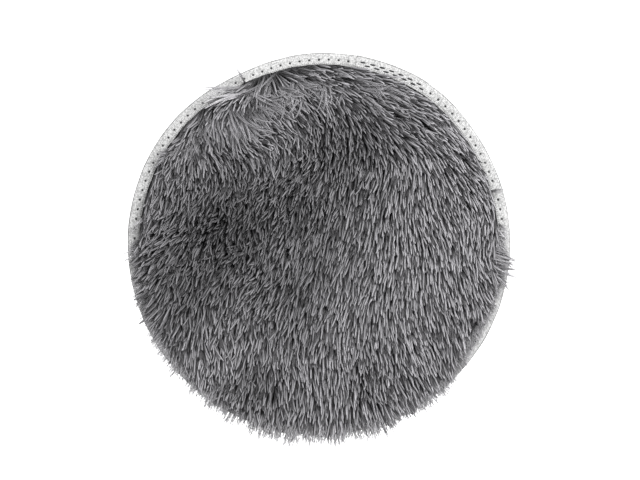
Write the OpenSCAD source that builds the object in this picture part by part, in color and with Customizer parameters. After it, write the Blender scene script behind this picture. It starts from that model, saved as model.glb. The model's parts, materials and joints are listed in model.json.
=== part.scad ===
// Furry windscreen for the front of a parabolic microphone dish.
// The rim of the dish enters from behind (+Y); the fur faces forward (-Y).
// The origin is the centre of the grip elastic's front edge, just behind the rim seat.

/* [Dish fit] */
// Inside radius of the grip elastic, which takes the dish rim
grip_r = 280.6; // [200:0.2:320]
// Width of the grip elastic along the dish axis
grip_w = 20; // [14:1:26]
// Thickness of the grip elastic
grip_t = 1.25; // [0.8:0.05:1.6]

/* [Skirt and band] */
// Width of the skirt behind the seat
skirt_w = 22; // [16:1:30]
// Thickness of the skirt cloth
skirt_t = 1.2; // [0.8:0.1:1.8]
// Thickness of the white edge band
band_t = 0.9; // [0.5:0.1:1.4]
// Width of the band that lies flat on the front
band_face = 18; // [14:0.5:24]
// How far the band runs back along the skirt
band_leg = 9; // [6:0.5:12]
// Middle of the place where the band's ends overlap, degrees up from +X
lap_mid = 67; // [0:1:120]
// Length of that overlap along the rim, degrees
lap_span = 23; // [6:1:30]

/* [Hoop] */
// Diameter of the sprung hoop wire
hoop_d = 2.4; // [1.6:0.1:2.6]
// Length of the ferrule that joins the wire's ends
ferrule_len = 42; // [20:1:60]

/* [Cloths] */
// Thickness of the knitted ground of the fur
ground_t = 1.5; // [0.8:0.1:2]
// Thickness of the mesh lining
lining_t = 0.8; // [0.4:0.1:1.2]
// Thickness of the tape that covers the raw edges, where it is folded double
facing_t = 1.6; // [1.2:0.1:2]
// Width of that tape
facing_w = 24; // [16:1:32]

/* [Fur] */
// How far the tips stand ahead of the seat in the middle
pile_front = 28; // [20:1:36]
// How much further the pile reaches past the rim below than above
pile_sag = 18.5; // [8:0.5:22]
// Radius at which the pile starts, at the top of the rim, inside the band's edge
pile_inset = 17; // [12:0.5:20]
// Depth of the rounded outer edge of the pile
pile_edge = 13; // [8:0.5:16]

/* [Stitches] */
// Stitches round the front of the band
stitch_n = 118; // [60:1:160]
// Length of one stitch
stitch_len = 3.4; // [2:0.1:5]
// Length of one of the longer stitches that hold the lap
lap_stitch_len = 8.4; // [4:0.2:9]
// Diameter of the thread
thread_d = 0.9; // [0.4:0.1:1]

/* [Hidden] */
$fn = 180;
gap = 0.1;
// The rim of the dish rests on this plane, just ahead of the grip elastic
seat_y = -0.5;

// Radii outward from the dish rim: elastic, skirt, then the band's leg
skirt_r = grip_r + grip_t;
leg_r = skirt_r + skirt_t;
band_r = leg_r + band_t;
// The band folds over the hoop with this radius inside
fold_r = hoop_d / 2 + 0.45;
hoop_r = leg_r - fold_r;
// Planes from the seat forward
lining_y = seat_y - facing_t;
ground_y = lining_y - lining_t;
flange_y = ground_y - ground_t;
face_y = flange_y - band_t;
hoop_y = flange_y + fold_r;
// Radii of the flat cloths
flange_r = band_r - band_face;
cloth_r = hoop_r - hoop_d / 2 - 3;
facing_out = hoop_r - hoop_d / 2 - 1;
facing_in = facing_out - facing_w;
// The tape's inner edge is a single layer, so its stitches lie below the seat
facing_step_r = facing_in + 8;
facing_single_y = seat_y - thread_d - gap;
// The pile: a disc hung lower than the rim's centre
pile_r0 = band_r - pile_inset;
pile_r = pile_r0 + pile_sag;
pile_back = face_y - thread_d - gap;
pile_root_r = flange_r - 0.4;
edge_round = pile_edge / 2;
// Stitch rows
band_row_r = band_r - 10.4;
lap_row_in = band_r - 12.4;
lap_row_out = band_r - 8.4;
leg_row_y = 5;
grip_row_y = 15.5;
facing_row_r = facing_in + 4;
lap_from = lap_mid - lap_span / 2;
lap_to = lap_mid + lap_span / 2;
stitch_step = 360 / stitch_n;

// Turns a profile of (radius, distance along +Y) about the dish axis
module about_axis() {
    rotate([-90, 0, 0]) rotate_extrude() children();
}

// The same over part of the rim, from one angle to another, up from +X
module about_axis_between(from, to) {
    rotate([0, -to, 0]) rotate([-90, 0, 0]) rotate_extrude(angle = to - from) children();
}

// Places children on the rim at an angle up from +X: x outward, z along the rim
module on_rim(angle, r, y) {
    rotate([0, -angle, 0]) translate([r, y, 0]) children();
}

module block(r0, r1, y0, y1) {
    translate([r0, y0]) square([r1 - r0, y1 - y0]);
}

module ring(r0, r1, y0, y1) {
    about_axis() block(r0, r1, y0, y1);
}

module disc(r, y0, y1) {
    translate([0, y0, 0]) rotate([-90, 0, 0]) cylinder(r = r, h = y1 - y0);
}

// Flat face, fold over the hoop and leg; shell moves it outward by one thickness a layer
module band_profile(shell, back_y) {
    inner = fold_r + shell;
    outer = inner + band_t;
    block(flange_r, hoop_r, hoop_y - outer, hoop_y - inner);
    translate([hoop_r, hoop_y]) intersection() {
        difference() {
            circle(r = outer, $fn = 48);
            circle(r = inner, $fn = 48);
        }
        translate([0, -outer]) square(outer);
    }
    block(hoop_r + inner, hoop_r + outer, hoop_y, back_y);
}

// One stitch lying along the rim
module stitch(len) {
    cylinder(d = thread_d, h = len, center = true, $fn = 16);
}

// A row of stitches on a face that looks forward or back
module face_row(r, y, shift, from, to, len = stitch_len) {
    for (i = [0 : stitch_n - 1]) {
        angle = (i + shift) * stitch_step;
        if (angle > from && angle < to) on_rim(angle, r, y) stitch(len);
    }
}

module fur_pile() {
    depth = pile_front + pile_back;
    crown_r = pile_r - edge_round;
    crown_n = 12;
    round_n = 8;
    profile = concat(
        [[0, pile_back]],
        [for (i = [0 : round_n]) let (a = 90 - 180 * i / round_n)
            [crown_r + edge_round * cos(a), pile_back - edge_round + edge_round * sin(a)]],
        [for (i = [1 : crown_n]) let (t = 1 - i / crown_n)
            [crown_r * t, pile_back - pile_edge - (depth - pile_edge) * (1 - t * t)]]);
    color("dimgray") {
        translate([0, 0, -pile_sag]) about_axis() polygon(profile);
        disc(pile_root_r, pile_back - 1, ground_y - ground_t);
    }
}

module fur_ground() {
    color("slategray") disc(cloth_r, ground_y - ground_t, ground_y);
}

module mesh_lining() {
    color("darkgray") disc(cloth_r, lining_y - lining_t, lining_y);
}

module facing_tape() {
    color("whitesmoke") about_axis() {
        block(facing_in, facing_step_r, lining_y, facing_single_y);
        block(facing_step_r, facing_out, lining_y, seat_y);
    }
}

module edge_band() {
    color("white") about_axis() band_profile(0, band_leg);
}

module band_lap() {
    color("snow") about_axis_between(lap_from, lap_to) band_profile(band_t, band_leg);
}

module rim_hoop() {
    color("silver") about_axis() translate([hoop_r, hoop_y]) circle(d = hoop_d, $fn = 32);
}

module hoop_ferrule() {
    half = ferrule_len / hoop_r * 90 / PI;
    color("goldenrod") about_axis_between(-90 - half, -90 + half)
        translate([hoop_r, hoop_y]) difference() {
            circle(d = hoop_d + 0.7, $fn = 32);
            circle(d = hoop_d, $fn = 32);
        }
}

module rim_skirt() {
    color("gainsboro") ring(skirt_r, leg_r, gap, skirt_w);
}

module skirt_join() {
    color("lightgray") about_axis_between(-93, -87)
        block(leg_r, leg_r + skirt_t, band_leg + 0.5, skirt_w - 0.5);
}

module grip_elastic() {
    color("ivory") ring(grip_r, skirt_r, 0, grip_w);
}

module band_stitches() {
    color("darkslategray") {
        face_row(band_row_r, face_y - thread_d / 2, 0.5, -1, lap_from - 0.6);
        face_row(band_row_r, face_y - thread_d / 2, 0.5, lap_to + 0.6, 361);
    }
}

module lap_stitches() {
    y = face_y - band_t - thread_d / 2;
    color("darkslategray") {
        face_row(lap_row_in, y, 0.5, lap_from + 0.8, lap_to - 0.8, lap_stitch_len);
        face_row(lap_row_out, y, 0, lap_from + 0.8, lap_to - 0.8, lap_stitch_len);
    }
}

module leg_stitches() {
    r = band_r + thread_d / 2;
    color("gainsboro") {
        for (i = [0 : stitch_n - 1]) {
            angle = i * stitch_step;
            on_lap = angle > lap_from - 0.6 && angle < lap_to + 0.6;
            on_rim(angle, r + (on_lap ? band_t : 0), leg_row_y) stitch(stitch_len);
        }
    }
}

module grip_stitches() {
    lean = 40;
    color("gainsboro") for (i = [0 : stitch_n - 1]) {
        angle = (i + 0.5) * stitch_step;
        on_join = angle > 266 && angle < 274;
        r = leg_r + (on_join ? skirt_t : 0) + thread_d / 2;
        on_rim(angle, r, grip_row_y) rotate([i % 2 == 0 ? lean : -lean, 0, 0]) stitch(stitch_len);
    }
}

module facing_stitches() {
    color("gainsboro") face_row(facing_row_r, facing_single_y + thread_d / 2, 0, -1, 361);
}

module skirt_overlock() {
    color("gray") ring(skirt_r - 0.2, leg_r + 0.3, skirt_w, skirt_w + 1.2);
}

fur_pile();
fur_ground();
mesh_lining();
facing_tape();
edge_band();
band_lap();
rim_hoop();
hoop_ferrule();
rim_skirt();
skirt_join();
grip_elastic();
band_stitches();
lap_stitches();
leg_stitches();
grip_stitches();
facing_stitches();
skirt_overlock();
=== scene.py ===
"""Looks of the furry windscreen: long-pile fur on a dish cover with a stitched white edge band.

Everything is in metres in the part's frame: the fur faces -Y, +Z is up, and the dish axis is Y.
Places on the round parts are given as (radius, angle, y), where the angle is in radians up from +X.
"""

import json
import math

import bmesh
import bpy
import numpy as np
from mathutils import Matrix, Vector


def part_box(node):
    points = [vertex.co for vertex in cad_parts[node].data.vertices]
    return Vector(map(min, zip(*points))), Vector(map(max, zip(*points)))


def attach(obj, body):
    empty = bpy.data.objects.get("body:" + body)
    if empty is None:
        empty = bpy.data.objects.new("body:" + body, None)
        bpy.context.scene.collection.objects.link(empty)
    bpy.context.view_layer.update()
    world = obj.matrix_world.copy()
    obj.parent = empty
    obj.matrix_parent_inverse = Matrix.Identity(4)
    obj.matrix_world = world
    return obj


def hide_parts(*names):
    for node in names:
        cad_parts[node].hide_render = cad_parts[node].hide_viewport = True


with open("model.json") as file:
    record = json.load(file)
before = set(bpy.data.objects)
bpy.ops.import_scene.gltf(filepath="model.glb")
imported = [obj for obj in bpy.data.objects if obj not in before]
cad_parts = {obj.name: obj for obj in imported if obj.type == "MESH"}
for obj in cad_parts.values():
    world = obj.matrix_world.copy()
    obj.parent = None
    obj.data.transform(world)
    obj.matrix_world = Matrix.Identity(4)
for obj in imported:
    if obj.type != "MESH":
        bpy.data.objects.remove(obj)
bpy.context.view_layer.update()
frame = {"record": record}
SEED = 20
MM = 0.001
TINTS = 64
# Where a strand's cross-sections are along it: closer together at the rounded tip
STRAND_RINGS = np.array([0, 0.15, 0.3, 0.45, 0.6, 0.75, 0.9, 0.96, 0.99, 1.0])
# Where the strand's tip starts to round off
TIP_FROM = 0.88
# How far a lock that would lie over the band is turned at a time, in radians
EASE = 0.14


# ---- places from the CAD


def extent(node):
    """A round node's largest radius about the dish axis, and the y of its front and of its back."""
    low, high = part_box(node)
    return max(high.x, high.z), low.y, high.y


RIM_R, BAND_FACE_Y, BAND_BACK_Y = extent("edge_band")
BAND_T = BAND_FACE_Y - extent("band_lap")[1]
GROUND_R, GROUND_Y, _ = extent("fur_ground")
FACING_R, FACING_Y, _ = extent("facing_tape")
SKIRT_R, SKIRT_Y, SKIRT_BACK_Y = extent("rim_skirt")
GRIP_R, GRIP_Y, GRIP_BACK_Y = extent("grip_elastic")
DISH_R = frame["record"]["mounts"][0]["dims"]["r_mm"] * MM
_, JOIN_Y, JOIN_BACK_Y = extent("skirt_join")
# The hoop's wire: its radius, and the centre of its section as (radius, y)
HOOP_R, HOOP_Y, HOOP_BACK_Y = extent("rim_hoop")
WIRE = (HOOP_BACK_Y - HOOP_Y) / 2
WIRE_AT = (HOOP_R - WIRE, (HOOP_Y + HOOP_BACK_Y) / 2)
PILE_LOW_Z, PILE_TOP_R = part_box("fur_pile")[0].z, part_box("fur_pile")[1].z
PILE_FRONT_Y = extent("fur_pile")[1]
# Stitches: how many in a row round the rim, their thread and length, how deep they sink in, and the rows
STITCHES = 118
STITCH_STEP = 2 * math.pi / STITCHES
THREAD = 0.9 * MM
STITCH = 3.4 * MM
SUNK = 0.25 * MM
BAND_ROW_R = extent("band_stitches")[0] - THREAD / 2
LEG_ROW_Y = sum(extent("leg_stitches")[1:]) / 2
GRIP_ROW_Y = sum(extent("grip_stitches")[1:]) / 2
FACING_ROW_R = extent("facing_stitches")[0] - THREAD / 2
LAP_ROWS_R = (RIM_R - 12.4 * MM, RIM_R - 8.4 * MM)
LAP_FROM, LAP_TO = math.radians(55.5), math.radians(78.5)
# The width of the band's flat face, its inner radius, and the width of the fold and the leg behind it
BAND_FACE, BAND_EDGE_R, BAND_BEHIND = 18 * MM, 265.95 * MM, 12.6 * MM
# How much of the band's edge shows as a rounded fold from the front
FOLD_FROM, FOLD_TO = RIM_R - 5 * MM, RIM_R - 1.2 * MM
# The rim's give: how far it moves outward, round which angle and over how wide a part of the rim
GIVES = [(3.5 * MM, math.radians(54), math.radians(15)), (-5.5 * MM, math.radians(115), math.radians(20))]


# ---- camera, lights and floor


def new_object(name, data):
    made = bpy.data.objects.new(name, data)
    bpy.context.scene.collection.objects.link(made)
    return made


def make_camera():
    """Level with the cover and square to it, at the distance where it fills the frame's height."""
    data = bpy.data.cameras.new("camera")
    data.lens = 100
    data.sensor_width = 36
    camera = new_object("camera", data)
    view_width = 3.342 * RIM_R
    distance = view_width * data.lens / data.sensor_width
    camera.location = (0.0015, BAND_FACE_Y - distance, 0.005)
    camera.rotation_euler = (math.radians(90), 0, 0)
    bpy.context.scene.camera = camera


def area_light(name, place, target, size, power):
    """A soft round lamp that the camera doesn't see."""
    data = bpy.data.lights.new(name, "AREA")
    data.shape = "DISK"
    data.size = size
    data.energy = power
    light = new_object(name, data)
    light.location = place
    light.rotation_euler = (Vector(target) - Vector(place)).to_track_quat("-Z", "Y").to_euler()
    light.visible_camera = False


def make_lights():
    world = bpy.data.worlds.new("studio")
    world.use_nodes = True
    world.node_tree.nodes["Background"].inputs["Color"].default_value = (1, 1, 1, 1)
    world.node_tree.nodes["Background"].inputs["Strength"].default_value = 0.5
    bpy.context.scene.world = world
    area_light("key", (1.3, -1.7, 1.5), (0, 0, 0), 1.2, 62)
    area_light("fill", (-1.6, -1.8, 0.2), (0, 0, 0), 1.4, 6)
    area_light("below", (-0.2, -0.9, -1.7), (0, 0, -0.1), 1.2, 12)
    area_light("back_key", (-0.9, 1.7, 1.4), (0, 0, 0), 0.7, 52)
    area_light("back_fill", (1.6, 1.5, 0.3), (0, 0, 0), 1.4, 10)
    bpy.context.scene.view_settings.view_transform = "Standard"


def make_floor():
    """A white sweep: flat under the cover, then curving up behind it."""
    floor_z = PILE_LOW_Z - 0.03
    width, steps = 12.0, 24
    profile = [(-6.0, floor_z), (3.0, floor_z)]
    for i in range(1, steps + 1):
        turn = i / steps * math.pi / 2
        profile.append((3.0 + 2.0 * math.sin(turn), floor_z + 2.0 * (1 - math.cos(turn))))
    profile.append((5.0, floor_z + 6.0))
    verts = [(x, y, z) for y, z in profile for x in (-width / 2, width / 2)]
    faces = [(2 * i, 2 * i + 1, 2 * i + 3, 2 * i + 2) for i in range(len(profile) - 1)]
    mesh = bpy.data.meshes.new("floor")
    mesh.from_pydata(verts, [], faces)
    floor = new_object("floor", mesh)
    material = bpy.data.materials.new("floor_white")
    material.use_nodes = True
    shader = material.node_tree.nodes["Principled BSDF"]
    shader.inputs["Base Color"].default_value = (0.95, 0.95, 0.95, 1)
    shader.inputs["Roughness"].default_value = 0.9
    shader.inputs["Emission Color"].default_value = (1, 1, 1, 1)
    shader.inputs["Emission Strength"].default_value = 1.0
    mesh.materials.append(material)
    floor.visible_diffuse = False
    floor.visible_glossy = False


# ---- materials


class Tree:
    """The node tree of a new material, with the constants set on its shader."""

    def __init__(self, name, roughness, sheen=0.0, specular=0.3):
        self.material = bpy.data.materials.new(name)
        self.material.use_nodes = True
        self.nodes = self.material.node_tree.nodes
        self.link = self.material.node_tree.links.new
        self.shader = self.nodes["Principled BSDF"].inputs
        constants = {"Roughness": roughness, "Specular IOR Level": specular, "Sheen Weight": sheen,
                     "Sheen Roughness": 0.45}
        for socket, value in constants.items():
            self.shader[socket].default_value = value

    def math(self, operation, *values):
        """The output of a Math node whose inputs are numbers or other nodes' outputs."""
        node = self.nodes.new("ShaderNodeMath")
        node.operation = operation
        for socket, value in zip(node.inputs, values):
            if isinstance(value, (int, float)):
                socket.default_value = value
            else:
                self.link(value, socket)
        return node.outputs[0]

    def times(self, one, other):
        return self.math("MULTIPLY", one, other)

    def linear(self, value, rate, shift):
        """Rate times the value, plus the shift."""
        return self.math("MULTIPLY_ADD", value, rate, shift)

    def wave(self, value, rate):
        return self.math("SINE", self.linear(value, rate, 0.0))

    def fade(self, value, start, end, low, high):
        """Goes from low to high while the value goes from start to end."""
        node = self.nodes.new("ShaderNodeMapRange")
        for socket, number in zip(("From Min", "From Max", "To Min", "To Max"), (start, end, low, high)):
            node.inputs[socket].default_value = number
        self.link(value, node.inputs["Value"])
        return node.outputs["Result"]

    def ramp(self, value, stops):
        """The colour for a value, between stops of (value, colour)."""
        node = self.nodes.new("ShaderNodeValToRGB")
        elements = node.color_ramp.elements
        while len(elements) < len(stops):
            elements.new(0.5)
        for element, (place, colour) in zip(elements, stops):
            element.position = place
            element.color = (*colour, 1)
        self.link(value, node.inputs["Fac"])
        return node.outputs["Color"]

    def noise(self, place, scale, detail):
        node = self.nodes.new("ShaderNodeTexNoise")
        node.inputs["Scale"].default_value = scale
        node.inputs["Detail"].default_value = detail
        self.link(place, node.inputs["Vector"])
        return node.outputs["Fac"]

    def place(self):
        """The point's place in the part's frame, as a vector socket."""
        return self.nodes.new("ShaderNodeTexCoord").outputs["Object"]

    def split(self, vector):
        node = self.nodes.new("ShaderNodeSeparateXYZ")
        self.link(vector, node.inputs["Vector"])
        return node.outputs

    def colour(self, colour, level):
        """Links the colour, made lighter or darker by the level, to the shader."""
        node = self.nodes.new("ShaderNodeVectorMath")
        node.operation = "SCALE"
        self.link(colour, node.inputs[0])
        self.link(level, node.inputs["Scale"])
        self.link(node.outputs["Vector"], self.shader["Base Color"])


def fur_material(name, root, tip):
    """Grey acrylic pile, with painted shade: dark grey at its root, growing lighter to the grey at its tip,
    and darker on each strand's flanks and underside.

    A strand's UV gives its colour: U holds its tint, in TINTS steps, and how far across the strand a point
    is within the step, and V how far along the strand.
    """
    tree = Tree(name, 0.42, sheen=0.08, specular=0.35)
    uv = tree.nodes.new("ShaderNodeUVMap")
    uv.uv_map = "OFBake"
    u, v, _ = tree.split(uv.outputs["UV"])
    middle = tuple(0.55 * r + 0.45 * t for r, t in zip(root, tip))
    # Painted shade: the grey darkens from the tip towards the root, deep in the pile
    along = tree.ramp(v, [(0.0, root), (0.36, middle), (0.66, tip), (1.0, tuple(1.1 * c for c in tip))])
    steps = tree.times(u, TINTS)
    # Painted shade: darker on each strand's flanks and underside, where the strands shade each other
    off_ridge = tree.math("ABSOLUTE", tree.math("SUBTRACT", tree.math("FRACT", steps), 0.5))
    painted_flank_shade = tree.fade(off_ridge, 0.24, 0.46, 1.0, 0.03)
    tint = tree.linear(u, 0.9, 0.5)
    place = tree.nodes.new("ShaderNodeCombineXYZ")
    tree.link(tree.times(steps, 5.0), place.inputs["X"])
    tree.link(tree.times(v, 2.5), place.inputs["Y"])
    fibres = tree.noise(place.outputs["Vector"], 1.0, 3.0)
    streak = tree.linear(fibres, 0.7, 0.65)
    tree.colour(along, tree.times(tree.times(painted_flank_shade, tint), streak))
    tree.link(tree.linear(fibres, 0.4, 0.25), tree.shader["Roughness"])
    return tree.material


def polar(tree):
    """Sockets with a point's angle up from +X, its distance from the dish axis, and its y."""
    x, y, z = tree.split(tree.place())
    squares = tree.linear(x, x, tree.times(z, z))
    return tree.math("ARCTAN2", z, x), tree.math("SQRT", squares), y


def from_rim(tree):
    """Sockets with the angle, and with the radius less the rim's give."""
    angle, radius, y = polar(tree)
    for reach, middle, width in GIVES:
        off = tree.linear(angle, 1 / width, -middle / width)
        fall = tree.math("EXPONENT", tree.times(tree.times(off, off), -1))
        radius = tree.linear(fall, -reach, radius)
    return angle, radius


def grain(tree, size, detail=2.0):
    """Noise from about 0.3 to 0.7 with lumps of that size in metres."""
    return tree.noise(tree.place(), 1 / size, detail)


def rate_round(period):
    """The whole number of repeats round the rim, so that a pattern of that period closes on itself."""
    return round(2 * math.pi * RIM_R / period)


def over_cloth(tree):
    """Sockets with the angle, and with the distance across a cloth that lies flat, or folds back along +Y."""
    angle, radius, y = polar(tree)
    return angle, tree.math("SUBTRACT", radius, y)


def plain_weave(tree, period):
    angle, across = over_cloth(tree)
    over = tree.wave(angle, rate_round(period))
    under = tree.wave(across, 2 * math.pi / period)
    return tree.linear(tree.times(over, under), 0.5, 0.5)


def ribbed_weave(tree, rib, pick):
    """Ribs that run along the rim, crossed by finer picks."""
    angle, across = over_cloth(tree)
    ribs = tree.math("ABSOLUTE", tree.wave(across, math.pi / rib))
    picks = tree.wave(angle, rate_round(pick))
    return tree.times(ribs, tree.linear(picks, 0.2, 0.75))


def knit(tree, wale, course):
    """Columns of V-shaped loops."""
    angle, across = over_cloth(tree)
    column = tree.math("ABSOLUTE", tree.wave(angle, rate_round(2 * wale)))
    loops = tree.wave(tree.linear(column, 0.4 * course, across), 2 * math.pi / course)
    return tree.linear(column, 0.3, tree.linear(loops, 0.3, 0.45))


def eyelets(tree, pitch):
    """A flat knitted mesh with holes on a staggered grid."""
    x, y, z = tree.split(tree.place())
    one = tree.wave(tree.math("ADD", x, z), math.pi / pitch)
    other = tree.wave(tree.math("SUBTRACT", x, z), math.pi / pitch)
    return tree.fade(tree.math("ABSOLUTE", tree.times(one, other)), 0.62, 0.36, 0.0, 1.0)


def cloth_material(name, deep, pale, pattern, sizes, bump, roughness=0.85, marks=None):
    """Cloth whose weave is a height pattern: its colour is darker in its hollows as painted shade, pale on
    its threads, speckled and uneven.

    Marks, if given, makes a factor that darkens the colour in places, as painted shade round needle holes and
    along folds, with fluff.
    """
    tree = Tree(name, roughness, sheen=0.12, specular=0.25)
    height = pattern(tree, *sizes)
    # Painted shade: the colour darkens into the weave's hollows
    tones = tree.ramp(height, [(0.1, deep), (0.85, pale)])
    speckle = tree.linear(grain(tree, 1.6 * MM, 3.0), 0.3, 0.85)
    uneven = tree.linear(grain(tree, 60 * MM), 0.14, 0.93)
    level = tree.times(speckle, uneven)
    if marks:
        level = tree.times(level, marks(tree))
    tree.colour(tones, level)
    tree.link(tree.linear(height, -0.12, roughness), tree.shader["Roughness"])
    relief = tree.nodes.new("ShaderNodeBump")
    relief.inputs["Strength"].default_value = 0.7
    relief.inputs["Distance"].default_value = bump
    tree.link(height, relief.inputs["Height"])
    tree.link(relief.outputs["Normal"], tree.shader["Normal"])
    return tree.material


def painted_hole_shade(tree, row_r, shift):
    """Painted shade: grey round the needle holes of a row of stitches, the first of them shift steps up from
    +X.
    """
    angle, radius = from_rim(tree)
    turn = tree.math("FRACT", tree.linear(angle, 1 / STITCH_STEP, 0.5 - shift + STITCHES))
    along = tree.times(tree.math("SUBTRACT", turn, 0.5), STITCH_STEP * row_r)
    off_row = tree.math("SUBTRACT", radius, row_r)
    far = tree.linear(along, along, tree.times(off_row, off_row))
    return tree.fade(far, (1.0 * MM) ** 2, (2.3 * MM) ** 2, 0.2, 1.0)


def fluff_and_painted_fold_shade(tree):
    """Fluff in the weave, painted shade along the outer fold where the band turns away, and the painted shade
    of a row of needle holes along the inner edge.
    """
    angle, radius = from_rim(tree)
    fluff = tree.fade(grain(tree, 2.2 * MM, 1.0), 0.40, 0.56, 0.66, 1.06)
    # Painted shade: grey along the outer fold
    fold = tree.fade(radius, RIM_R - 2.2 * MM, RIM_R - 0.9 * MM, 1.0, 0.5)
    # Painted shade: dark dots of needle holes along the inner edge
    off_row = tree.math("ABSOLUTE", tree.math("SUBTRACT", radius, RIM_R - 15.8 * MM))
    row = tree.fade(off_row, 0.5 * MM, 1.0 * MM, 0.55, 0.0)
    holes = tree.linear(tree.wave(angle, rate_round(3.1 * MM)), 0.5, 0.5)
    edge = tree.math("SUBTRACT", 1.0, tree.times(row, holes))
    return tree.times(fluff, tree.times(fold, edge))


def painted_band_shade_and_fluff(tree):
    return tree.times(painted_hole_shade(tree, BAND_ROW_R, 0.5), fluff_and_painted_fold_shade(tree))


def painted_facing_hole_shade(tree):
    return painted_hole_shade(tree, FACING_ROW_R, 0.0)


def thread_material(name, deep, pale):
    """Two-ply thread: its plies slant across the stitch, with painted shade in the grooves between them."""
    tree = Tree(name, 0.6, sheen=0.2, specular=0.4)
    angle, radius, y = polar(tree)
    slant = tree.linear(angle, RIM_R, tree.math("ADD", radius, y))
    plies = tree.linear(tree.wave(slant, 2 * math.pi / (1.1 * MM)), 0.5, 0.5)
    fuzz = tree.linear(grain(tree, 0.5 * MM, 3.0), 0.6, -0.3)
    # Painted shade: darker in the grooves between the plies
    tones = tree.ramp(tree.math("ADD", plies, fuzz), [(0.15, deep), (0.8, pale)])
    tree.link(tones, tree.shader["Base Color"])
    tree.link(tree.linear(fuzz, 0.6, 0.6), tree.shader["Roughness"])
    return tree.material


def metal_material(name, dull, bright, roughness):
    """Drawn wire or pressed sheet: fine lines along it, with duller stains."""
    tree = Tree(name, roughness, specular=0.5)
    tree.shader["Metallic"].default_value = 1.0
    angle, radius, y = polar(tree)
    lines = tree.times(tree.wave(tree.linear(radius, 0.7, y), 2 * math.pi / (0.35 * MM)), 0.15)
    stains = tree.math("ADD", grain(tree, 6 * MM, 4.0), lines)
    tree.link(tree.ramp(stains, [(0.35, dull), (0.65, bright)]), tree.shader["Base Color"])
    tree.link(tree.linear(stains, -0.3, roughness + 0.15), tree.shader["Roughness"])
    return tree.material


# ---- meshes


def smooth(low, high, x):
    t = np.clip((x - low) / (high - low), 0, 1)
    return t * t * (3 - 2 * t)


def spot(one, other, width):
    """One where both distances are nought, falling off over that width."""
    return np.exp(-(one ** 2 + other ** 2) / (2 * width ** 2))


def unit(v):
    return v / np.maximum(np.linalg.norm(v, axis=-1, keepdims=True), 1e-9)


def stand_for(piece, slot, *nodes):
    """Makes a piece ride on the cover and stand for CAD nodes, which it hides; the slot is not used."""
    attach(piece, "root")
    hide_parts(*nodes)
    return piece


def quad_mesh(name, verts, faces, material):
    mesh = bpy.data.meshes.new(name)
    mesh.vertices.add(len(verts))
    mesh.vertices.foreach_set("co", verts.astype(np.float32).ravel())
    mesh.loops.add(len(faces) * 4)
    mesh.loops.foreach_set("vertex_index", faces.astype(np.int32).ravel())
    mesh.polygons.add(len(faces))
    mesh.polygons.foreach_set("loop_start", np.arange(0, len(faces) * 4, 4, dtype=np.int32))
    mesh.polygons.foreach_set("use_smooth", np.ones(len(faces), bool))
    mesh.update(calc_edges=True)
    mesh.materials.append(material)
    return new_object(name, mesh)


def turned_outward(piece):
    """Makes the normals of a closed mesh point out of it."""
    work = bmesh.new()
    work.from_mesh(piece.data)
    bmesh.ops.recalc_face_normals(work, faces=work.faces)
    work.to_mesh(piece.data)
    work.free()
    return piece


def settled(points):
    """The rim's give: it bulges a little at the upper right, and is drawn in and back at the upper left."""
    x, y, z = points.T
    r, angle = np.hypot(x, z), np.arctan2(z, x)
    weight = smooth(0.87, 0.97, r / RIM_R)
    outward = sum(reach * np.exp(-((angle - middle) / width) ** 2) for reach, middle, width in GIVES)
    _, middle, width = GIVES[1]
    backward = 2.5 * MM * np.exp(-((angle - middle) / width) ** 2)
    scale = 1 + weight * outward / np.maximum(r, MM)
    return np.stack([x * scale, y + weight * backward, z * scale], axis=1)


def outline(middle, thick):
    """The closed profile of a strip of that thickness, from its middle line of (radius, y) points."""
    middle = np.array(middle)
    way = np.gradient(middle, axis=0)
    normal = np.stack([-way[:, 1], way[:, 0]], axis=1)
    normal = normal / np.linalg.norm(normal, axis=1, keepdims=True) * thick / 2
    return np.concatenate([middle + normal, (middle - normal)[::-1]])


def straight(start, end, count):
    """Points from start up to, but without, end."""
    t = np.arange(count)[:, None] / count
    return [tuple(p) for p in np.array(start) * (1 - t) + np.array(end) * t]


def whole_line(start, end, count):
    return straight(start, end, count) + [end]


def arc(centre, radius, start, end, count):
    """Points round a centre in the (radius, y) plane, from one angle in degrees to another."""
    turns = np.radians(np.linspace(start, end, count))
    return [(centre[0] + radius * math.cos(t), centre[1] + radius * math.sin(t)) for t in turns]


def turned(r, angle, y):
    """The points at arrays of radius, angle and y."""
    return np.stack([r * np.cos(angle), y, r * np.sin(angle)], axis=-1)


def ring(name, slot, node, profile, material, step, shape=None, start=0.0, end=2 * math.pi):
    """An outline turned about the dish axis, all the way round or between two angles up from +X.

    Step is the angle from one row of points to the next. Shape takes the arrays of angle, radius and y, and
    returns how far each point moves outward and along Y.
    """
    whole = end - start > 6.28
    count = round((end - start) / step)
    rows = count if whole else count + 1
    angle = (start + (end - start) * np.arange(rows) / count)[:, None]
    n = len(profile)
    angle = np.broadcast_to(angle, (rows, n))
    r, y = np.broadcast_to(profile[:, 0], (rows, n)), np.broadcast_to(profile[:, 1], (rows, n))
    if shape:
        outward, along = shape(angle, r, y)
        r, y = r + outward, y + along
    verts = turned(r, angle, y).reshape(-1, 3)
    i, j = np.arange(count)[:, None], np.arange(n)[None, :]
    other, beside = (i + 1) % rows, (j + 1) % n
    faces = np.stack([i * n + j, i * n + beside, other * n + beside, other * n + j], axis=2).reshape(-1, 4)
    if not whole:
        j = np.arange(n // 2 - 1)
        cap = np.stack([j, j + 1, n - 2 - j, n - 1 - j], axis=1)
        faces = np.concatenate([faces, cap, cap[:, ::-1] + count * n])
    return stand_for(turned_outward(quad_mesh(name, settled(verts), faces, material)), slot, node)


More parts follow.
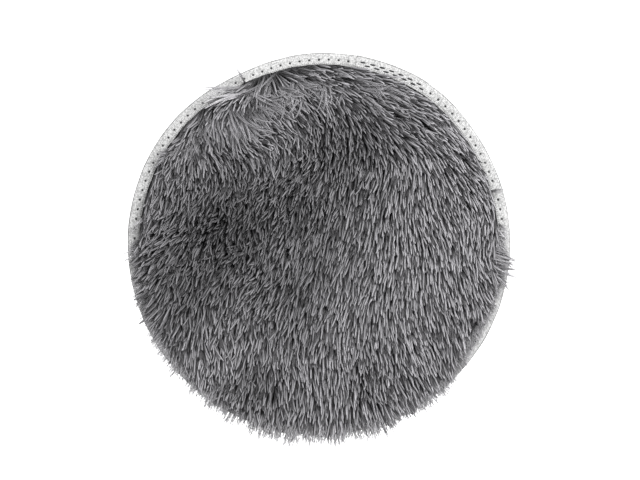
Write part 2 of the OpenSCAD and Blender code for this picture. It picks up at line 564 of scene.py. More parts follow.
def disc(name, slot, node, cells, material, shape=None):
    """A round cloth as a closed mesh of even cells. Shape gives how far each point (x, z) moves along Y."""
    radius = GROUND_R
    edge = np.linspace(-1, 1, cells + 1)
    u, v = np.meshgrid(edge, edge)
    x, z = u * np.sqrt(1 - v * v / 2) * radius, v * np.sqrt(1 - u * u / 2) * radius
    x, z = x.ravel(), z.ravel()
    lift = shape(x, z) if shape else 0 * x
    layers = [np.stack([x, y + lift, z], axis=1) for y in extent(node)[1:]]
    size, row = len(x), cells + 1
    i = (np.arange(cells)[:, None] * row + np.arange(cells)[None, :]).ravel()
    face = np.stack([i, i + 1, i + row + 1, i + row], axis=1)
    low = np.arange(row)
    border = np.concatenate([low, low[1:] * row + cells, cells * row + low[-2::-1], low[-2:0:-1] * row])
    following = np.roll(border, -1)
    side = np.stack([border, border + size, following + size, following], axis=1)
    faces = np.concatenate([face, face[:, ::-1] + size, side])
    piece = quad_mesh(name, settled(np.concatenate(layers)), faces, material)
    return stand_for(turned_outward(piece), slot, node)


def tube_faces(count, rings, around):
    """The faces of closed tubes: rings of points joined by quads, then their first and last caps."""
    base = (np.arange(count) * rings * around)[:, None, None]
    k, a = np.arange(rings - 1)[None, :, None] * around, np.arange(around)[None, None, :]
    b = (a + 1) % around
    walls = np.stack([base + k + a, base + k + b, base + k + around + b, base + k + around + a], axis=3)
    half = np.arange(around // 2 - 1)
    cap = np.stack([half, half + 1, around - 2 - half, around - 1 - half], axis=1)[None]
    caps = [base + cap[:, :, ::-1], base + cap + (rings - 1) * around]
    return np.concatenate([part.reshape(-1, 4) for part in (walls, *caps)])


def tubes(name, centres, sides, ups, wide, tall, material, around=8, twist=0.0):
    """Closed tubes with pointed ends as one mesh. The arrays are (tubes, rings, 3) and (tubes, rings)."""
    n, rings = centres.shape[:2]
    turn = np.arange(around) / around * 2 * math.pi
    ply = 1 + 0.14 * np.cos(2 * turn[None, :] - twist * np.linspace(0, 1, rings)[:, None])
    across = (wide[:, :, None] * np.cos(turn) * ply)[..., None] * sides[:, :, None]
    above = (tall[:, :, None] * np.sin(turn) * ply)[..., None] * ups[:, :, None]
    verts = (centres[:, :, None] + across + above).reshape(-1, 3)
    return quad_mesh(name, settled(verts), tube_faces(n, rings, around), material)


# ---- fur


def waves(rng, count, wavelength, x, z):
    """A smooth random field from about -1 to 1 over the cover, made of plane waves."""
    total = np.zeros_like(x)
    for _ in range(count):
        heading, phase = rng.uniform(0, 2 * math.pi, 2)
        k = 2 * math.pi / (wavelength * rng.uniform(0.7, 1.5))
        total += np.sin(k * (x * math.cos(heading) + z * math.sin(heading)) + phase)
    return total / math.sqrt(count / 2) / 1.4


# Places where the pile stands up and parts, so that it is dark: (x, z, radius, strength), in rim radii
PARTED = [(-0.50, 0.12, 0.30, 0.75), (-0.30, -0.08, 0.20, 0.5), (-0.16, 0.30, 0.26, 0.55),
          (0.08, 0.50, 0.26, 0.55), (-0.38, -0.78, 0.12, 0.7), (0.25, -0.66, 0.12, 0.6)]
# Places where less light gets into the pile, so that the strands' colour is darkened there as painted shade:
# the same
SHADED = [(-0.44, 0.14, 0.45, 1.35), (-0.62, -0.10, 0.36, 1.0), (-0.10, 0.26, 0.42, 1.05),
          (0.08, 0.50, 0.40, 0.95), (-0.20, -0.05, 0.45, 0.8), (-0.30, -0.68, 0.20, 0.7),
          (0.25, -0.62, 0.12, 0.5)]
# Places where the pile has been brushed another way: (x, z, radius, radians towards +X)
BRUSHED = [(-0.52, 0.60, 0.26, 0.6), (0.05, 0.52, 0.34, -0.40), (-0.08, -0.20, 0.42, -0.22),
           (-0.58, -0.42, 0.36, 0.30), (0.25, -0.62, 0.30, 0.35), (-0.45, 0.02, 0.34, 0.15),
           (-0.30, 0.36, 0.30, 0.35)]
# Curled clumps that lie over the rest: (x, z) of the roots in rim radii, then degrees of heading, of fan to
# each side and of curl along the strand, the strand's length in mm and the number of strands
CLUMPS = [(-0.56, 0.66, -70, 14, 128, 54, 20), (-0.54, 0.70, -95, 12, 150, 44, 13),
          (-0.50, 0.72, 4, 16, 26, 62, 44), (-0.44, 0.70, 26, 18, 8, 68, 51),
          (-0.38, 0.74, 56, 20, -4, 60, 40), (-0.33, 0.76, 72, 16, -30, 58, 30),
          (-0.66, 0.60, 22, 26, -20, 50, 37), (-0.70, 0.55, -16, 22, -28, 46, 34),
          (-0.63, 0.56, 44, 20, -30, 48, 30), (-0.74, 0.39, -6, 36, 0, 42, 37),
          (-0.25, 0.84, -34, 18, 30, 50, 37), (-0.17, 0.86, -14, 20, 14, 54, 44),
          (-0.11, 0.87, 24, 18, -6, 58, 40), (-0.04, 0.87, 46, 16, -22, 56, 34),
          (0.06, 0.87, 8, 34, -14, 46, 37), (0.14, 0.85, -24, 14, 26, 44, 27),
          (0.18, 0.83, 62, 15, -12, 60, 44), (0.28, 0.80, 76, 13, -14, 58, 44),
          (0.40, 0.78, 70, 12, -10, 48, 30), (-0.36, 0.49, 20, 32, -12, 46, 37),
          (-0.22, 0.58, 12, 26, 18, 44, 34), (0.24, -0.63, 36, 26, -34, 46, 34),
          (0.58, -0.28, 22, 26, 18, 40, 23), (-0.62, 0.25, -20, 34, 16, 40, 30),
          (0.85, -0.11, 62, 26, 8, 46, 27), (0.88, 0.0, 48, 20, 10, 38, 20)]
# Stray hairs that reach past the rest: (x, z, heading, length, strands) in the same units
STRAYS = [(0.86, -0.06, 74, 64, 7), (0.88, -0.12, 62, 56, 6), (-0.92, -0.02, -68, 56, 2),
          (-0.36, 0.81, -78, 88, 16), (-0.40, 0.84, -150, 36, 2), (0.90, 0.28, 96, 34, 2),
          (0.02, -0.88, 2, 50, 3), (0.34, 0.86, 84, 44, 8), (-0.90, 0.14, -44, 40, 4),
          (0.92, 0.10, 40, 36, 3)]


def patches(places, x, z):
    """The strength of the strongest of the places at each point."""
    total = np.zeros_like(x)
    for px, pz, radius, strength in places:
        total = np.maximum(total, strength * spot(x / RIM_R - px, z / RIM_R - pz, radius * 0.6))
    return total


def at_angle(x, z, middle, width):
    """One at that many degrees up from +X, falling to nought over that width."""
    return np.exp(-((np.degrees(np.arctan2(z, x)) - middle) / width) ** 2)


def bare_side(x, z):
    """One at the lower right, where some of the band shows past the fur, and nought elsewhere."""
    return at_angle(x, z, -29, 14)


def tufted(x, z):
    """How much longer or shorter the locks near the lower rim are, in uneven tufts."""
    near_edge = smooth(0.74, 0.92, np.hypot(x, z) / RIM_R) * smooth(0.1, -0.2, z / RIM_R)
    return 1 + 0.17 * near_edge * waves(np.random.default_rng(SEED + 2), 9, 0.035, x, z)


def unruly(x, z):
    """How much the locks cross each other: little on the right, and much on the left and at the top."""
    return 0.4 + 0.55 * smooth(0.15, -0.4, x / RIM_R) + 0.4 * smooth(0.3, 0.7, z / RIM_R)


def flow_heading(rng, x, z):
    """Which way the pile lies, as an angle from straight down towards +X, in radians."""
    u, v = x / RIM_R, z / RIM_R
    r, theta = np.hypot(u, v), np.arctan2(v, u)
    middle, below = 0.66 * u - 0.27, 0.38 * u - 0.05
    heading = below + (middle - below) * smooth(-0.7, -0.05, v)
    across_top = smooth(0.34, 0.66, v) * smooth(-0.66, -0.44, u)
    heading += (0.52 + 0.6 * smooth(0.05, 0.45, u) - heading) * across_top
    split = smooth(-0.45, -0.15, u) * 2 - 1
    tangent = np.where(split > 0, np.minimum(theta, 1.3), np.maximum(theta - math.pi, -1.3)) * abs(split)
    heading += (tangent - heading) * smooth(0.62, 0.92, r) * smooth(-0.1, 0.35, v)
    for px, pz, radius, turn in BRUSHED:
        heading += turn * spot(u - px, v - pz, radius * 0.6)
    fine = 0.12 * waves(rng, 7, 0.06, x, z) + 0.13 * waves(rng, 9, 0.03, x, z)
    return heading + 0.17 * waves(rng, 7, 0.16, x, z) + fine * unruly(x, z)


def root_places(rng, radius, pitch):
    """Roots on a shaken triangular grid inside a circle."""
    rows = int(radius / (pitch * 0.866)) + 1
    columns = int(radius / pitch) + 1
    i, j = np.meshgrid(np.arange(-columns, columns + 1), np.arange(-rows, rows + 1))
    x = (i + 0.5 * (j % 2)).ravel() * pitch
    z = j.ravel() * pitch * 0.866
    x = x + rng.uniform(-0.36, 0.36, len(x)) * pitch
    z = z + rng.uniform(-0.36, 0.36, len(z)) * pitch
    keep = np.hypot(x, z) < radius
    return x[keep], z[keep]


def fur_limit(x, z):
    """How far from the dish axis the fur may reach: it covers the band only on the lower half."""
    drawn_in = at_angle(x, z, 118, 22)
    left = smooth(0.0, -0.5, x / RIM_R) * smooth(0.0, 0.2, z / RIM_R)
    over_band = 60 * MM * smooth(0.15, -0.25, z / RIM_R)
    return PILE_TOP_R - 2 * MM - 4 * MM * drawn_in - 6 * MM * left + over_band


def kept_off_the_band(x, z, heading, reach):
    """Turns the locks at the upper rim inward until their tips stay on the fur's side of the band."""
    limit = fur_limit(x, z)
    for _ in range(12):
        tip_x = x + reach * np.sin(heading)
        tip_z = z - reach * np.cos(heading)
        out = np.hypot(tip_x, tip_z) > limit
        inward = np.arctan2(-x, z)
        turn = (inward - heading + math.pi) % (2 * math.pi) - math.pi
        heading = heading + np.where(out, np.clip(turn, -EASE, EASE), 0)
    return heading


def grow_locks(x, z, heading, turn, lean_root, lean_tip, length, y=GROUND_Y):
    """Centrelines of locks, as an array (locks, points, 3), with their sideways and forward directions.

    Heading is the angle from straight down towards +X and turn how much it changes along the lock; the two
    leans are measured from -Y, and all angles are in radians.
    """
    n, points = len(x), 12
    s = np.linspace(0, 1, points)[None, :]
    lean = lean_root[:, None] + (lean_tip - lean_root)[:, None] * s ** 0.75
    way = heading[:, None] + turn[:, None] * s ** 1.4
    step = np.stack([np.sin(lean) * np.sin(way), -np.cos(lean), -np.sin(lean) * np.cos(way)], axis=2)
    middle = (step[:, 1:] + step[:, :-1]) / 2 * (length / (points - 1))[:, None, None]
    line = np.concatenate([np.zeros((n, 1, 3)), np.cumsum(middle, axis=1)], axis=1)
    room = y - (PILE_FRONT_Y - 5 * MM)
    line[:, :, 1] *= np.minimum(1, room / np.maximum(-line[:, :, 1].min(axis=1), MM))[:, None]
    line += np.stack([x, np.full(n, y), z], axis=1)[:, None, :]
    side = np.stack([np.cos(way), np.zeros_like(way), np.sin(way)], axis=2)
    return line, side, step


def strand_mesh(name, centres, sides, ups, widths, heights, tint, bright, material):
    """One mesh of closed four-sided strands. The arrays are (strands, rings, 3) and (strands, rings).

    Tint goes from 0 to 1, and bright is how far towards the tip's grey the strand gets.
    """
    n, rings = centres.shape[:2]
    w, h = widths[..., None], heights[..., None]
    corners = [centres + sides * w, centres + ups * h, centres - sides * w, centres - ups * h * 0.7]
    verts = np.stack(corners, axis=2).reshape(-1, 3)
    faces = tube_faces(n, rings, 4)
    piece = quad_mesh(name, verts, faces, material)
    # Across the strand: the ridge is in the middle of the tint's step, its flanks and underside at the ends,
    # where the material paints shade
    corner = np.array([[0.94, 0.5, 0.5, 0.94], [0.5, 0.06, 0.06, 0.5], [0.06, 0.03, 0.03, 0.06],
                       [0.97, 0.94, 0.94, 0.97]])
    across = np.concatenate([np.tile(corner, (n * (rings - 1), 1)), np.full((2 * n, 4), 0.5)])
    owner = faces // (rings * 4)
    along = (faces % (rings * 4)) // 4 / (rings - 1)
    step = np.floor(np.clip(tint, 0, 0.999) * TINTS)
    uv = np.stack([(step[owner] + across) / TINTS, (0.01 + 0.98 * along) * bright[owner]], axis=2)
    layer = piece.data.uv_layers.new(name="OFBake")
    layer.data.foreach_set("uv", uv.astype(np.float32).ravel())
    return stand_for(piece, "fur", "fur_pile")


def strands_of(rng, lines, half, count, splay, tint, bright, taper=0.3):
    """Splits each lock into strands that lie side by side and part a little towards the tip."""
    line, side, step = lines
    n, points = line.shape[:2]
    s = STRAND_RINGS
    row = np.arange(n)[:, None]
    made = []
    for k in range(count):
        across = k - (count - 1) / 2
        reach = 1 - rng.uniform(0, 0.12, n)
        t = s[None, :] * reach[:, None] * (points - 1)
        i = np.clip(t.astype(int), 0, points - 2)
        f = (t - i)[..., None]
        centre = line[row, i] * (1 - f) + line[row, i + 1] * f
        sd = unit(side[row, i] * (1 - f) + side[row, i + 1] * f)
        up = unit(np.cross(sd, step[row, i]))
        up = np.where(up[..., 1:2] > 0, -up, up)
        wide = half * rng.uniform(0.8, 1.2, (n, 1))
        apart = 1.8 * half * across * (1 - 0.5 * smooth(0.55, 1.0, s))[None, :]
        drift = rng.normal(0, splay, (n, 1)) * half * s[None, :] ** 1.8
        lift = (rng.normal(0, 0.25, (n, 1)) - 0.45 * abs(across)) * half * (0.5 + 0.5 * s[None, :])
        centre = centre + sd * (apart + drift)[..., None] + up * lift[..., None]
        tip = np.sqrt(np.clip(1 - np.clip((s - TIP_FROM) / (1 - TIP_FROM), 0, 1) ** 2, 0.02, 1))
        thick = (0.7 + 0.3 * smooth(0.0, 0.3, s)) * (1 - taper * smooth(0.5, 0.95, s)) * tip
        tone = tint + rng.normal(0, 0.15, n)
        made.append((centre, sd, up, wide * thick[None, :], wide * 0.85 * thick[None, :], tone, bright))
    return joined(made)


def share_out(name, order, pieces, parts, material):
    """Makes several meshes of the strands, taken in that order, so that none of them is too large."""
    for k, chosen in enumerate(np.array_split(order, pieces)):
        strand_mesh(f"{name}_{k + 1}", *(part[chosen] for part in parts), material)


def joined(parts):
    """One list of strand arrays from several."""
    return [np.concatenate(part) for part in zip(*parts)]


def combed_layer(name, salt, material, pieces, pitch, length, half, count, lean_tip, tint, taper):
    """A layer of locks over the whole cover that follow the flow of the pile."""
    rng = np.random.default_rng(SEED + salt)
    x, z = root_places(rng, PILE_TOP_R - 2 * MM, pitch)
    below, beside = smooth(0.15, -0.1, z / RIM_R), smooth(0.25, 0.8, abs(x) / RIM_R)
    room = PILE_TOP_R - 2 * MM - 3.5 * MM * at_angle(x, z, 115, 20)
    room = room - (4 + 7 * beside) * MM * below - 7 * MM * bare_side(x, z)
    inside = np.hypot(x, z) < room
    x, z = x[inside], z[inside]
    n = len(x)
    field = np.random.default_rng(SEED + 1)
    parted = np.clip(patches(PARTED, x, z) * (1 + 0.4 * waves(field, 7, 0.05, x, z)), 0, 1)
    loose = unruly(x, z)
    heading = flow_heading(np.random.default_rng(SEED), x, z)
    heading = heading + rng.normal(0, 0.04 + 0.07 * loose + 0.15 * parted, n)
    length = length * (1 + 0.06 * waves(field, 7, 0.08, x, z)) * tufted(x, z)
    length = length * rng.normal(1.0, 0.12, n).clip(0.7, 1.3) * (1 - 0.15 * parted)
    lean_root = np.radians(rng.normal(34, 5, n) - 14 * parted)
    lean_tip = np.radians(rng.normal(lean_tip, 5, n) - 28 * parted)
    heading = kept_off_the_band(x, z, heading, length * np.sin((lean_root + lean_tip) / 2))
    turn = rng.normal(0, 0.08 + 0.17 * loose + 0.2 * parted, n)
    lines = grow_locks(x, z, heading, turn, lean_root, lean_tip, length)
    # Painted shade: strands are darker, and keep more of the root's darker grey, where less light gets into
    # the pile
    shaded = patches(SHADED, x, z)
    tone = tint + rng.normal(0, 0.08, n) - 0.2 * shaded + 0.04 * waves(field, 7, 0.12, x, z)
    bright = 1 - 0.48 * shaded + rng.normal(0, 0.03, n)
    splay = 0.1 + 0.3 * loose[:, None] + 0.4 * parted[:, None]
    parts = strands_of(rng, lines, half, count, splay, tone, bright.clip(0.3, 1), taper)
    share_out(name, np.argsort(np.tile(z, count), kind="stable"), pieces, parts, material)


def spread(rng, middle, width, count):
    """Angles in radians, spread about a middle given in degrees."""
    return np.radians(rng.normal(middle, width, count))


def make_clumps(material):
    """The curled clumps on top of the combed pile: each is a few locks, whose strands keep together."""
    rng = np.random.default_rng(SEED + 12)
    parts = []
    for u, v, heading, fan, curl, length, count in CLUMPS:
        lock = np.arange(count) % max(2, count // 6)
        apart = rng.normal(0, 1, (4, count))
        x = u * RIM_R + 8 * MM * apart[0][lock] + rng.normal(0, 1.8 * MM, count)
        z = v * RIM_R + 7 * MM * apart[1][lock] + rng.normal(0, 1.8 * MM, count)
        too_far = np.hypot(x, z) / (PILE_TOP_R - 7 * MM)
        x, z = x / np.maximum(too_far, 1), z / np.maximum(too_far, 1)
        way = np.radians(heading + 0.7 * fan * apart[2][lock] + rng.normal(0, 6, count))
        turn = np.radians(curl + 24 * apart[3][lock] + rng.normal(0, 8, count))
        lean_root, lean_tip = spread(rng, 42, 7, count), spread(rng, 96, 6, count)
        long = length * MM * rng.normal(1, 0.12, count)
        way = kept_off_the_band(x, z, way, 0.8 * long)
        lines = grow_locks(x, z, way, turn, lean_root, lean_tip, long)
        # Painted shade: clumps are darker where less light gets into the pile
        tone = np.full(count, 0.50 - 0.12 * patches(SHADED, u * RIM_R, v * RIM_R))
        parts.append(strands_of(rng, lines, 0.85 * MM, 2, 0.5, tone, np.full(count, 1.0), 0.5))
    strand_mesh("fur_clumps", *joined(parts), material)


def make_fringe(material):
    """Fine hairs along the lower rim, which reach past the locks; their paler copy of the grey is painted
    light, for hairs lit from behind.
    """
    rng = np.random.default_rng(SEED + 14)
    count = 4800
    angle = np.radians(rng.uniform(-181, 6, count))
    r = PILE_TOP_R - rng.uniform(0, 9, count) * MM
    x, z = r * np.cos(angle), r * np.sin(angle)
    flow = flow_heading(np.random.default_rng(SEED), x, z)
    outward = angle + math.pi / 2
    way = flow + (outward - flow) * rng.uniform(0.2, 0.8, count) + rng.normal(0, 0.16, count)
    length = (22 - 30 * np.sin(angle)) * MM * rng.uniform(0.6, 1.1, count) * tufted(x, z)
    length = length * (1 - 0.5 * bare_side(x, z))
    lines = grow_locks(x, z, way, rng.normal(0, 0.3, count), spread(rng, 34, 8, count),
                       spread(rng, 86, 7, count), length)
    parts = strands_of(rng, lines, 0.4 * MM, 1, 0.3, rng.uniform(0.3, 1.0, count), np.full(count, 1.0), 0.7)
    share_out("fur_fringe", np.argsort(angle), 2, parts, material)


def make_strays(material):
    """Single hairs that stick out, and the tuft that lies across the band at the upper left, in the same
    paler grey, painted light from behind.
    """
    rng = np.random.default_rng(SEED + 13)
    parts = []
    for u, v, heading, length, count in STRAYS:
        x = u * RIM_R + rng.normal(0, 3 * MM, count)
        z = v * RIM_R + rng.normal(0, 3 * MM, count)
        way = np.radians(heading + rng.normal(0, 7, count))
        lines = grow_locks(x, z, way, rng.normal(0, 0.2, count), spread(rng, 35, 5, count),
                           spread(rng, 84, 5, count), length * MM * rng.uniform(0.8, 1.1, count))
        tone = rng.uniform(0.6, 1.0, count)
        parts.append(strands_of(rng, lines, 0.6 * MM, 2, 0.3, tone, np.full(count, 1.0), 0.7))
    strand_mesh("fur_strays", *joined(parts), material)


def make_fur():
    top = fur_material("fur_grey", (0.03, 0.0293, 0.0315), (0.47, 0.462, 0.483))
    # Painted shade: the under layer is a darker copy of the pile's grey, for the shade deep in the pile
    low = fur_material("fur_under_painted_shade_grey", (0.01, 0.0098, 0.0106), (0.13, 0.127, 0.134))
    combed_layer("fur_locks", 10, top, pieces=5, pitch=5.2 * MM, length=37 * MM, half=1.85 * MM, count=1,
                 lean_tip=84, tint=0.5, taper=0.3)
    combed_layer("fur_under", 11, low, pieces=4, pitch=7.6 * MM, length=32 * MM, half=1.3 * MM, count=2,
                 lean_tip=74, tint=0.5, taper=0.4)
    # Painted light: a paler copy of the pile's grey for the fringe and the stray hairs, as if lit from behind
    pale = fur_material("fur_fringe_painted_light_grey", (0.16, 0.157, 0.164), (0.74, 0.73, 0.755))
    make_fringe(pale)
    make_clumps(top)
    make_strays(pale)


# ---- cloths, band, skirt and stitches

# The colour of the painted shade in the hollows, and the threads' colour
WHITE_THREAD = ((0.5, 0.5, 0.5), (0.8, 0.8, 0.79))


def slow_waves(angle, salt):
    """From about -1 to 1 round the rim, closing on itself."""
    phases = np.random.default_rng(SEED + salt).uniform(0, 2 * math.pi, 4)
    return sum(np.sin(k * angle + p) for k, p in zip((9, 14, 23, 37), phases)) / 2.4


def near_stitch(angle, r, shift):
    """Distance along the rim from the nearest stitch of a row, whose first is shift steps up from +X."""
    return ((angle / STITCH_STEP - shift + 0.5) % 1 - 0.5) * STITCH_STEP * r


def band_shape(angle, r, y):
    """Dimples at the stitches, puckers between them, and an uneven fold."""
    face = smooth(FOLD_TO, FOLD_FROM, r)
    leg = smooth(0, 2 * MM, y)
    away = abs(r - BAND_ROW_R)
    along = near_stitch(angle, r, 0.5)
    dimple = 0.7 * MM * spot(along, away, 1.5 * MM)
    pucker = 0.28 * MM * np.cos(2 * math.pi * angle / STITCH_STEP) * smooth(1 * MM, 7 * MM, away)
    dent = 0.3 * MM * spot(near_stitch(angle, r, 0.0), y - LEG_ROW_Y, 1.3 * MM)
    outward = 0.25 * MM * slow_waves(angle, 31) * (1 - face) - dent * leg
    outward += 0.5 * MM * slow_waves(2 * angle, 32) * smooth(RIM_R - 15 * MM, RIM_R - 18 * MM, r)
    return outward, face * (dimple + pucker + 0.3 * MM * slow_waves(angle, 33) - 0.3 * MM)


def lap_shape(angle, r, y):
    """The same for the lap, with dimples along its two rows."""
    face = smooth(FOLD_TO, FOLD_FROM, r)
    dimple = np.zeros_like(angle)
    for row, shift in zip(LAP_ROWS_R, (0.5, 0.0)):
        along = np.maximum(abs(near_stitch(angle, r, shift)) - 3.4 * MM, 0)
        dimple += 0.45 * MM * spot(along, r - row, 1.1 * MM)
    end = np.minimum(angle - LAP_FROM, LAP_TO - angle) * RIM_R
    curl = -0.5 * MM * smooth(5 * MM, 0, end)
    dimple = dimple + curl + 0.25 * MM * slow_waves(angle, 33)
    return 0.2 * MM * slow_waves(angle, 31) * (1 - face), face * dimple


def band_profile(shell):
    """The band's middle line: flat on the front, folded round the hoop and back along the skirt."""
    radius = RIM_R - WIRE_AT[0] - BAND_T / 2 + shell
    face_y, leg_r = WIRE_AT[1] - radius, WIRE_AT[0] + radius
    flange = straight((RIM_R - BAND_FACE, face_y), (WIRE_AT[0], face_y), 12)
    leg = whole_line((leg_r, WIRE_AT[1]), (leg_r, BAND_BACK_Y), 7)[1:]
    return flange + arc(WIRE_AT, radius, -90, 0, 8) + leg


def stitches(name, angle, r, y, towards, lean, length, wide, slot, node, material):
    """Stitches along the rim at the places (r, angle, y), each leaning out of the rim's direction.

    Towards says which way the cloth's face looks: -1 or 1 along Y, or 0 for outward.
    """
    none = np.zeros_like(angle)
    along = np.stack([-np.sin(angle), none, np.cos(angle)], axis=1)
    outward = np.stack([np.cos(angle), none, np.sin(angle)], axis=1)
    backward = np.stack([none, none + 1, none], axis=1)
    across, up = (outward, towards * backward) if towards else (backward, outward)
    lean = (lean + none)[:, None]
    way = along * np.cos(lean) + across * np.sin(lean)
    side = across * np.cos(lean) - along * np.sin(lean)
    middle = outward * (r + none)[:, None] + backward * y
    t = np.linspace(-1, 1, 11)
    rise = THREAD / 2 * (1 - 0.9 * t ** 2)
    centres = middle[:, None] + way[:, None] * (t * length / 2)[None, :, None]
    centres = centres + up[:, None] * rise[None, :, None]
    ends = np.sqrt(np.clip(1 - abs(t) ** 3, 0.02, 1))[None, :] * np.ones((len(angle), 1))
    sides, ups = (np.broadcast_to(ways[:, None], centres.shape) for ways in (side, up))
    piece = tubes(name, centres, sides, ups, wide / 2 * ends, THREAD / 2 * ends, material,
                  around=10 if towards else 8, twist=2 * math.pi * length / (3 * MM))
    return stand_for(turned_outward(piece), slot, node)


def make_band():
    white = cloth_material("band_white", (0.60, 0.60, 0.60), (0.86, 0.86, 0.855), ribbed_weave,
                           (2.2 * MM, 1.8 * MM), 0.15 * MM, marks=painted_band_shade_and_fluff)
    lap_white = cloth_material("lap_white", (0.62, 0.62, 0.62), (0.87, 0.87, 0.865), ribbed_weave,
                               (2.2 * MM, 1.8 * MM), 0.15 * MM, marks=fluff_and_painted_fold_shade)
    dark = thread_material("dark_thread", (0.008, 0.008, 0.009), (0.05, 0.05, 0.054))
    pale = thread_material("white_thread", *WHITE_THREAD)
    band = ring("edge_band_cloth", "band_webbing", "edge_band", outline(band_profile(0), BAND_T), white,
                STITCH_STEP / 10, band_shape)
    lap = ring("band_lap_cloth", "band_webbing", "band_lap", outline(band_profile(BAND_T), BAND_T), lap_white,
               STITCH_STEP / 12, lap_shape, LAP_FROM, LAP_TO)
    steps = np.arange(STITCHES)
    half, whole = (steps + 0.5) * STITCH_STEP, steps * STITCH_STEP
    under_lap = (half > LAP_FROM - 0.01) & (half < LAP_TO + 0.01)
    dots = stitches("band_thread", half[~under_lap], BAND_ROW_R, BAND_FACE_Y + SUNK, -1, 0.0, STITCH,
                    2.0 * MM, "grey_thread", "band_stitches", dark)
    rows = [angles[(angles > LAP_FROM + 0.014) & (angles < LAP_TO - 0.014)] for angles in (half, whole)]
    rows_r = np.repeat(LAP_ROWS_R, [len(row) for row in rows])
    dashes = stitches("lap_thread", np.concatenate(rows), rows_r, BAND_FACE_Y - BAND_T + SUNK, -1, -0.08,
                      8.8 * MM, 2.2 * MM, "grey_thread", "lap_stitches", dark)
    on_lap = (whole > LAP_FROM - 0.01) & (whole < LAP_TO + 0.01)
    leg = stitches("leg_thread", whole, RIM_R + np.where(on_lap, BAND_T, 0) - 0.1 * MM, LEG_ROW_Y, 0, 0.0,
                   STITCH, THREAD, "white_thread", "leg_stitches", pale)


def make_ground_and_lining():
    # Painted shade: the ground knit is near-black, for the shade in the gaps of the pile
    ground_painted_shade_grey = cloth_material("ground_painted_shade_grey", (0.02, 0.02, 0.021), (0.07, 0.069, 0.073), knit,
                                 (1.6 * MM, 1.5 * MM), 0.2 * MM)
    lining_grey = cloth_material("lining_mesh_grey", (0.02, 0.02, 0.021), (0.26, 0.257, 0.265), eyelets,
                                 (4.4 * MM,), 0.5 * MM)
    ground = disc("fur_ground_cloth", "ground_knit", "fur_ground", 72, ground_painted_shade_grey)

    def puckers(x, z):
        r, angle = np.hypot(x, z), np.arctan2(z, x)
        loose = smooth(FACING_R - 24.5 * MM, FACING_R - 36 * MM, r)
        fans = np.sin(41 * angle + 2 * slow_waves(angle, 34)) * smooth(0.5, 0.85, r / GROUND_R)
        slack = waves(np.random.default_rng(SEED + 35), 9, 0.15, x, z)
        return loose * MM * (1.5 * (1 + fans) + 2.2 * np.clip(1 + slack, 0, 3))

    lining = disc("mesh_lining_cloth", "lining_mesh", "mesh_lining", 150, lining_grey, puckers)


def make_facing():
    """A tape over the raw edges, folded double outside its row of stitches."""
    white = cloth_material("facing_white", (0.5, 0.5, 0.49), (0.8, 0.8, 0.78), plain_weave, (2.4 * MM,),
                           0.2 * MM, marks=painted_facing_hole_shade)
    pale = thread_material("facing_thread_white", *WHITE_THREAD)
    thick, gap = 0.7 * MM, 0.1 * MM
    inner, step = FACING_R - 24 * MM, FACING_R - 16 * MM
    low_y, high_y = FACING_Y + thick / 2, FACING_Y + 1.5 * thick + gap
    bend = (thick + gap) / 2
    line = straight((inner, low_y), (FACING_R - thick, low_y), 16)
    line += arc((FACING_R - bend - thick / 2, FACING_Y + thick + gap / 2), bend, -90, 90, 7)
    line += whole_line((FACING_R - thick - 2 * MM, high_y), (step, high_y), 10)

    def shape(angle, r, y):
        edge = smooth(FACING_R - 18 * MM, FACING_R - 24 * MM, r)
        dimple = spot(near_stitch(angle, r, 0.0), r - FACING_ROW_R, 1.4 * MM)
        scallop = np.cos(2 * math.pi * angle / STITCH_STEP)
        return edge * 0.35 * MM * scallop, np.zeros_like(r) - 0.12 * MM * dimple

    tape = ring("facing_tape_cloth", "facing_tape", "facing_tape", outline(line, thick), white,
                STITCH_STEP / 8, shape)
    angles = np.arange(STITCHES) * STITCH_STEP
    thread = stitches("facing_thread", angles, FACING_ROW_R, low_y + thick / 2 - 0.1 * MM, 1, 0.0, STITCH,
                      THREAD, "white_thread", "facing_stitches", pale)


def skirt_shape(angle, r, y):
    """Small gathers where the elastic draws the skirt in, and a wavy free edge."""
    gathers = 0.5 + 0.5 * np.cos(4 * math.pi * angle / STITCH_STEP + 2 * slow_waves(angle, 36))
    free = smooth(BAND_BACK_Y + 0.3 * MM, BAND_BACK_Y + 4 * MM, y)
    return free * MM * (0.55 * gathers + 0.25 + 0.25 * slow_waves(2 * angle, 37)), np.zeros_like(r)


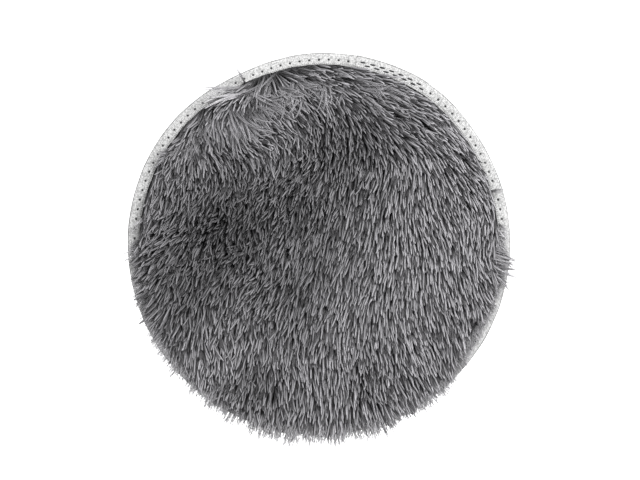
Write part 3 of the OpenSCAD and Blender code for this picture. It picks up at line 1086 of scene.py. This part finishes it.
def make_skirt():
    knit_white = cloth_material("skirt_knit_white", (0.42, 0.42, 0.42), (0.78, 0.78, 0.77), knit,
                                (2.2 * MM, 2.0 * MM), 0.3 * MM)
    rubber_white = cloth_material("elastic_white", (0.5, 0.49, 0.47), (0.8, 0.79, 0.765), ribbed_weave,
                                  (1.25 * MM, 1.8 * MM), 0.25 * MM)
    pale = thread_material("grip_thread_white", *WHITE_THREAD)
    grey = thread_material("overlock_grey", (0.2, 0.2, 0.205), (0.45, 0.45, 0.46))
    thick = SKIRT_R - GRIP_R
    middle = GRIP_R + thick / 2
    line = whole_line((middle, SKIRT_Y), (middle, SKIRT_BACK_Y), 16)
    skirt = ring("rim_skirt_cloth", "skirt_knit", "rim_skirt", outline(line, thick - 0.1 * MM), knit_white,
                 STITCH_STEP / 10, skirt_shape)

    half = math.radians(3)
    below = 1.5 * math.pi
    line = whole_line((SKIRT_R + thick / 2, JOIN_Y), (SKIRT_R + thick / 2, JOIN_BACK_Y), 10)
    join = ring("skirt_join_cloth", "skirt_knit", "skirt_join", outline(line, thick - 0.1 * MM), knit_white,
                STITCH_STEP / 10, skirt_shape, below - half, below + half)

    count = 60
    y = GRIP_Y + (GRIP_BACK_Y - GRIP_Y) * np.arange(count + 1) / count
    rib = 0.4 * MM * (0.5 - 0.5 * np.cos(2 * math.pi * (y - GRIP_Y) / (2.5 * MM)))
    inner = np.stack([DISH_R + rib, y], axis=1)
    outer = np.stack([np.full(count + 1, GRIP_R - 0.05 * MM), y], axis=1)
    grip = ring("grip_elastic_band", "elastic", "grip_elastic", np.concatenate([inner, outer[::-1]]),
                rubber_white, math.radians(0.75))

    steps = np.arange(STITCHES)
    angle = (steps + 0.5) * STITCH_STEP
    on_join = abs(angle - below) < math.radians(4)
    r = SKIRT_R + np.where(on_join, thick, 0) + 0.45 * MM
    lean = np.radians(40) * np.where(steps % 2 == 0, 1, -1)
    zigzag = stitches("grip_thread", angle, r, GRIP_ROW_Y, 0, lean, 7 * MM, THREAD, "white_thread",
                      "grip_stitches", pale)
    loops = make_overlock(middle, grey)


def make_overlock(middle, material):
    """A thread wound over the skirt's free edge."""
    turns, per_turn = 700, 10
    k = np.arange(turns * per_turn + 1)
    angle, wind = k / (turns * per_turn) * 2 * math.pi, k / per_turn * 2 * math.pi
    outward, along = skirt_shape(angle, np.full(len(k), middle), np.full(len(k), SKIRT_BACK_Y))
    r = middle + outward + 0.78 * MM * np.sin(wind)
    y = SKIRT_BACK_Y - 0.2 * MM + 0.95 * MM * np.cos(wind)
    path = turned(r, angle, y)
    way = unit(np.gradient(path, axis=0))
    up = unit(path - turned(middle + outward, angle, np.full(len(k), SKIRT_BACK_Y)))
    side = unit(np.cross(way, up))
    up = np.cross(side, way)
    size = np.full((1, len(k)), 0.28 * MM)
    piece = tubes("overlock_thread_loops", path[None], side[None], up[None], size, size, material, around=6)
    return stand_for(turned_outward(piece), "overlock_thread", "skirt_overlock")


def make_hoop():
    steel = metal_material("spring_steel", (0.26, 0.27, 0.28), (0.48, 0.49, 0.5), 0.55)
    brass = metal_material("ferrule_brass", (0.42, 0.27, 0.09), (0.75, 0.55, 0.24), 0.35)
    wire, sleeve = (np.array(arc(WIRE_AT, WIRE + extra, 0, 360, 17)[:-1]) for extra in (0, 0.35 * MM))
    ring("rim_hoop_wire", "spring_wire", "rim_hoop", wire, steel, math.radians(1))

    def crimps(angle, r, y):
        along = (angle + math.pi / 2) * WIRE_AT[0]
        places = (-13 * MM, -4.5 * MM, 4.5 * MM, 13 * MM)
        pinch = sum(np.exp(-((along - place) / (1.6 * MM)) ** 2) for place in places)
        return -0.3 * pinch * (r - WIRE_AT[0]), -0.3 * pinch * (y - WIRE_AT[1])

    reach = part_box("hoop_ferrule")[1].x / WIRE_AT[0]
    ring("hoop_ferrule_sleeve", "ferrule_brass", "hoop_ferrule", sleeve, brass, math.radians(0.25), crimps,
         -math.pi / 2 - reach, -math.pi / 2 + reach)


# ---- the whole scene

make_camera()
make_lights()
make_floor()
make_fur()
make_band()
make_ground_and_lining()
make_facing()
make_skirt()
make_hoop()
